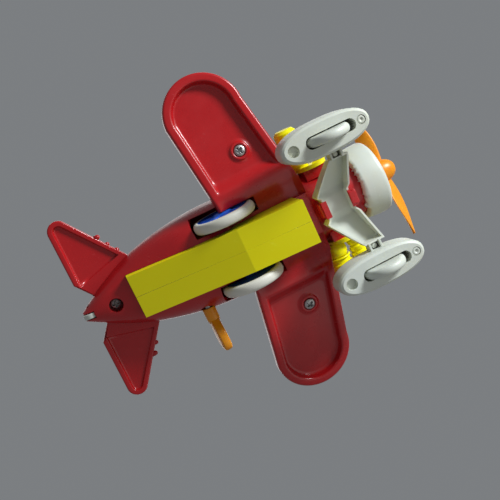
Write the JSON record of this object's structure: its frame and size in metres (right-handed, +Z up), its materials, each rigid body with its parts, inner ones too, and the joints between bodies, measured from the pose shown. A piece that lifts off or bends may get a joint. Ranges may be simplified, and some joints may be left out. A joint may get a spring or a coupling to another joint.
{
  "type": "toy biplane",
  "caption": "Clockwork toy biplane with red body and wings, geared main wheels, faired front wheels, tail roller, side winding key and free-turning propeller.",
  "frame": {"origin": "on the floor under the middle of the toy, at the bottom centre of its bounding box", "axes": "+Z up, +X towards the nose, +Y to the left (port) side; the toy stands nose-up on its wheels"},
  "size_m": [0.17, 0.1696, 0.0849],
  "materials": {
    "red": "glossy moulded red plastic",
    "yellow": "glossy moulded yellow plastic",
    "blue": "glossy moulded blue plastic",
    "cream": "satin off-white plastic",
    "tyre": "soft off-white ring",
    "amber": "glossy amber plastic",
    "gear_plastic": "plain moulded gears",
    "dark": "dark cockpit lining",
    "steel": "plain steel pins, springs and screws",
    "clear": "clear windscreen sheet"
  },
  "bodies": {
    "airframe": {"fuselage_bottom": "red", "fuselage_top": "red", "lower_wing": "red", "upper_wing": "red", "tailplane": "red", "fin": "red", "cabane_left": "cream", "cabane_right": "cream", "interplane_left": "cream", "interplane_right": "cream", "windscreen": "clear", "cockpit_tub": "dark", "cowl_ring": "cream", "nose_plate": "yellow", "engine_left": "yellow", "engine_right": "yellow", "gearbox_left": "yellow", "gearbox_right": "yellow", "idler_pin": "steel", "gear_strut": "cream", "spat_shell_left": "cream", "spat_shell_right": "cream", "spat_cover_left": "cream", "spat_cover_right": "cream", "spat_pegs": "cream", "front_axle_left": "steel", "front_axle_right": "steel", "roller_pin": "steel", "wing_screws": "steel", "tail_screw": "steel"},
    "propeller": {"propeller": "amber", "prop_shaft": "steel"},
    "drive_wheels": {"drive_axle": "steel", "axle_pinion": "gear_plastic", "main_hub_left": "blue", "main_hub_right": "blue", "main_tyre_left": "tyre", "main_tyre_right": "tyre"},
    "idler": {"idler_gear": "gear_plastic"},
    "winding": {"winding_gear": "gear_plastic", "winding_shaft": "steel", "mainspring": "steel", "winding_key": "amber"},
    "front_wheel_left": {"front_wheel_left": "cream"},
    "front_wheel_right": {"front_wheel_right": "cream"},
    "tail_roller": {"tail_roller": "cream"}
  },
  "joints": [
    {"name": "propeller_spin", "type": "hinge", "parent": "airframe", "child": "propeller", "pos_m": [0.07696, 0, 0.05829], "axis": [0.9315, 0, 0.3637], "continuous": true},
    {"name": "drive_spin", "type": "hinge", "parent": "airframe", "child": "drive_wheels", "pos_m": [0.00248, 0, 0.0159], "axis": [0, 1, 0], "continuous": true},
    {"name": "idler_spin", "type": "hinge", "parent": "airframe", "child": "idler", "pos_m": [-0.00771, 0, 0.01797], "axis": [0, 1, 0], "continuous": true},
    {"name": "key_spin", "type": "hinge", "parent": "airframe", "child": "winding", "pos_m": [-0.02427, 0, 0.01512], "axis": [0, 1, 0], "continuous": true},
    {"name": "front_wheel_left_spin", "type": "hinge", "parent": "airframe", "child": "front_wheel_left", "pos_m": [0.0637, 0.0336, 0.0106], "axis": [0, 1, 0], "continuous": true},
    {"name": "front_wheel_right_spin", "type": "hinge", "parent": "airframe", "child": "front_wheel_right", "pos_m": [0.0637, -0.0336, 0.0106], "axis": [0, 1, 0], "continuous": true},
    {"name": "roller_spin", "type": "hinge", "parent": "airframe", "child": "tail_roller", "pos_m": [-0.07615, 0, 0.0042], "axis": [0, 1, 0], "continuous": true}
  ],
  "couplings": [
    {"joint": "idler_spin", "follows": "drive_spin", "ratio": -0.625},
    {"joint": "key_spin", "follows": "drive_spin", "ratio": 0.38462}
  ]
}
